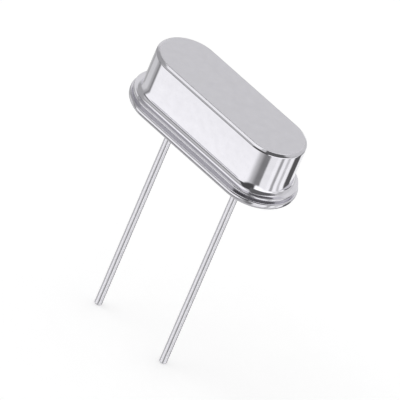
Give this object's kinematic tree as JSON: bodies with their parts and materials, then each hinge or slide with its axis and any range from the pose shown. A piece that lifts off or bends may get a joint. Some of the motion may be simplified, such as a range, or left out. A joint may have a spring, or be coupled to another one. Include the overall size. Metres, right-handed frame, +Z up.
{
  "type": "crystal oscillator",
  "caption": "Low-profile quartz crystal sealed in an oblong bright metal can with a welded flange and straight wire leads for a circuit board.",
  "frame": {"origin": "the middle of the seating face, the underside of the base that meets the circuit board, halfway between the two leads", "axes": "+Z up through the can, square to the circuit board; +X along the can, from the left lead to the right lead; the leads point along -Z"},
  "size_m": [0.0108, 0.0044, 0.0161],
  "materials": {
    "can_metal": "bright nickel plate, satin on the flat top",
    "base_metal": "bright nickel plate",
    "seal_glass": "dark, glossy, fused to the metal",
    "lead_metal": "tinned, slightly uneven",
    "clip_metal": "rolled spring strip",
    "quartz": "fine lapped, clear",
    "silver_film": "evaporated silver",
    "adhesive": "cured, silver-filled"
  },
  "bodies": {
    "root": {"can": "can_metal", "base": "base_metal", "glass_seal_left": "seal_glass", "glass_seal_right": "seal_glass", "lead_left": "lead_metal", "lead_right": "lead_metal", "spring_clip_left": "clip_metal", "spring_clip_right": "clip_metal", "quartz_blank": "quartz", "electrode_top": "silver_film", "electrode_bottom": "silver_film", "adhesive_dot_left": "adhesive", "adhesive_dot_right": "adhesive"}
  },
  "joints": []
}
